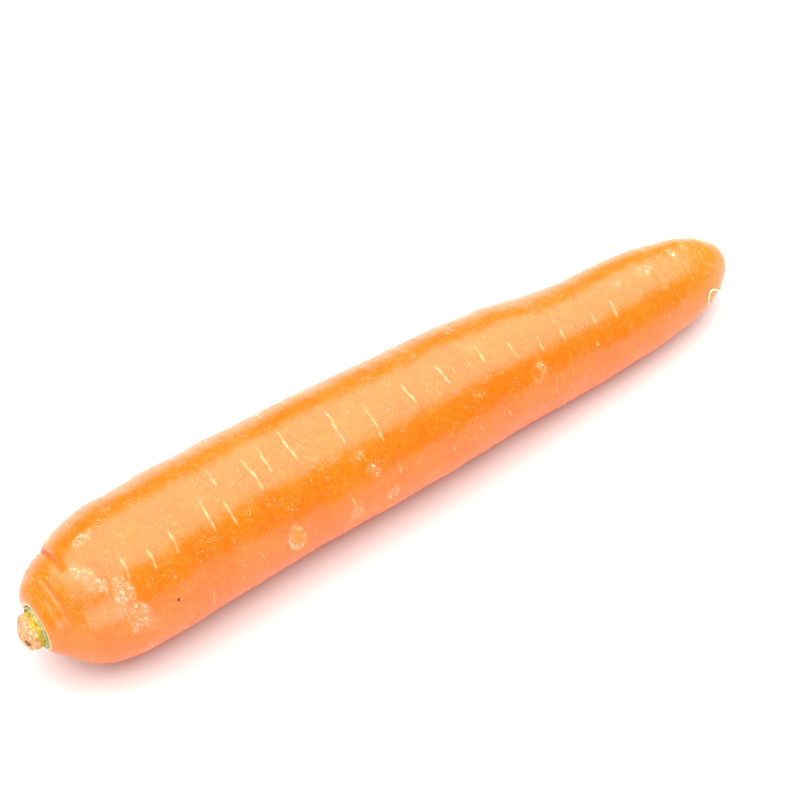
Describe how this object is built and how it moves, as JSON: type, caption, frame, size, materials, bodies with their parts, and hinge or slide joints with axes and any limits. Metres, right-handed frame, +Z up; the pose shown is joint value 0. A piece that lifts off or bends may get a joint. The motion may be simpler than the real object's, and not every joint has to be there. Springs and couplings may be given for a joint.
{
  "type": "carrot",
  "caption": "Topped carrot lying on its side: a thick, blunt root with a creased shoulder, a stem stub in a collar of cut leaf stalks, and a fine rootlet at the tip.",
  "frame": {"origin": "on the surface that the carrot lies on, under the middle of its outline", "axes": "+X along the root from the crown to the tip, +Z up from the surface it lies on, +Y across it"},
  "size_m": [0.2028, 0.0364, 0.0359],
  "materials": {
    "skin": "satin",
    "leaf_stalk": "matte",
    "stem": "matte",
    "rootlet": "matte"
  },
  "bodies": {
    "root": {"taproot": "skin", "leaf_stalk_collar": "leaf_stalk", "stem_stub": "stem", "tip_rootlet": "rootlet"}
  },
  "joints": []
}
